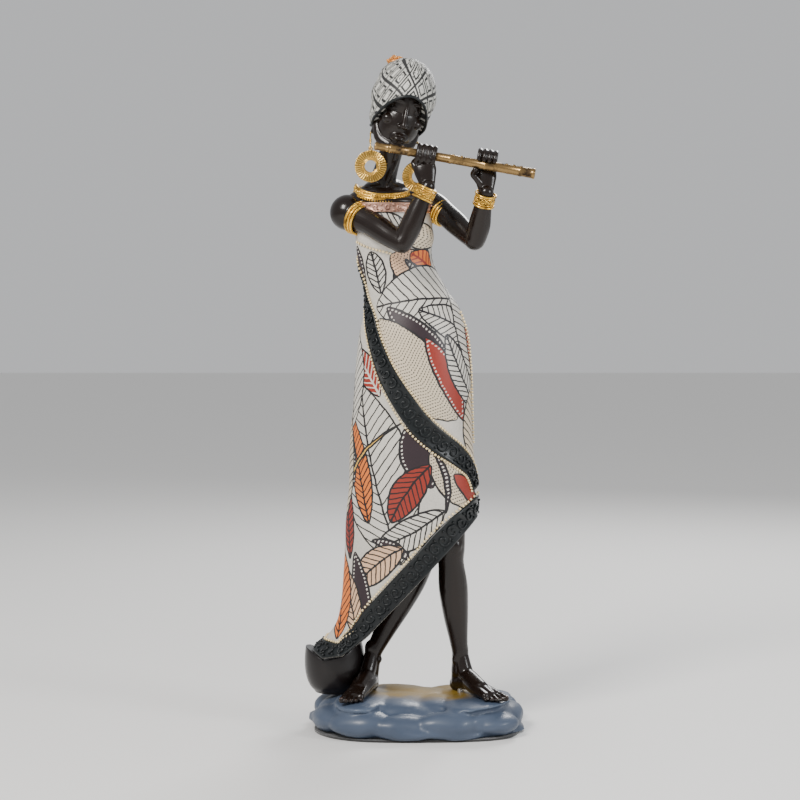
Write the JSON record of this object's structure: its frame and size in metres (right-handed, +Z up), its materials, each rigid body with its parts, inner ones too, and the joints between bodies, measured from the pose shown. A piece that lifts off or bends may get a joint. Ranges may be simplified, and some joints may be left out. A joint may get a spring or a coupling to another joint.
{
  "type": "flute player figurine",
  "caption": "Standing flute player figurine in a printed wrap dress and head wrap, on a rock plinth, with loose swinging ear rings.",
  "frame": {"origin": "middle of the flat underside of the plinth's felt", "axes": "+Z up along the standing figure, -Y towards the front of the plinth, +X to the side the flute points"},
  "size_m": [0.126, 0.0801, 0.3749],
  "materials": {
    "felt": "black self-adhesive felt",
    "painted_rock": "cast resin painted blue-grey as wet rock, gloss varnish",
    "skin": "cast resin painted very dark brown, polished",
    "pin_steel": "bright drawn steel rod",
    "printed_dress": "cast resin with a printed leaf pattern in grey-white, black, rust red, orange and cream, satin varnish",
    "dark_trim": "charcoal scroll relief edged with small cream and gold beads",
    "copper_trim": "coppery pink-gold relief paint",
    "lining": "near-black, polished",
    "turban_relief": "off-white relief with black nested diamonds",
    "orange_gold": "orange and antique gold paint",
    "antique_gold": "antique gold, mottled",
    "gold_filigree": "bright gold filigree paint",
    "earring_brass": "bright brass sheet and wire"
  },
  "bodies": {
    "figure": {"base_felt": "felt", "plinth": "painted_rock", "right_leg": "skin", "left_leg": "skin", "torso": "skin", "head": "skin", "right_arm": "skin", "left_arm": "skin", "right_leg_pin": "pin_steel", "left_leg_pin": "pin_steel", "neck_pin": "pin_steel", "right_shoulder_pin": "pin_steel", "left_shoulder_pin": "pin_steel", "dress": "printed_dress", "hem_trim": "dark_trim", "wrap_trim": "dark_trim", "bust_trim": "copper_trim", "lining_tail": "lining", "turban": "turban_relief", "turban_rosette": "orange_gold", "flute_head": "antique_gold", "flute_body": "antique_gold", "right_bracelet": "gold_filigree", "left_bracelet": "gold_filigree", "right_armlet": "gold_filigree", "left_armlet": "gold_filigree", "necklace": "gold_filigree", "necklace_back": "gold_filigree"},
    "right_hook": {"right_ear_hook": "earring_brass"},
    "right_disc": {"right_ear_disc": "earring_brass"},
    "left_hook": {"left_ear_hook": "earring_brass"},
    "left_disc": {"left_ear_disc": "earring_brass"}
  },
  "joints": [
    {"name": "right_hook_swing", "type": "hinge", "parent": "figure", "child": "right_hook", "pos_m": [-0.02364, -0.01272, 0.3319], "axis": [1, 0, 0], "range_deg": [-40, 4]},
    {"name": "right_disc_swing", "type": "hinge", "parent": "right_hook", "child": "right_disc", "pos_m": [-0.02524, -0.01272, 0.3225], "axis": [0, 1, 0], "range_deg": [-8, 20]},
    {"name": "left_hook_swing", "type": "hinge", "parent": "figure", "child": "left_hook", "pos_m": [-0.00097, -0.00694, 0.32658], "axis": [1, 0, 0], "range_deg": [-25, 4]},
    {"name": "left_disc_swing", "type": "hinge", "parent": "left_hook", "child": "left_disc", "pos_m": [0.00063, -0.00694, 0.31718], "axis": [0, 1, 0], "range_deg": [-12, 8]}
  ]
}
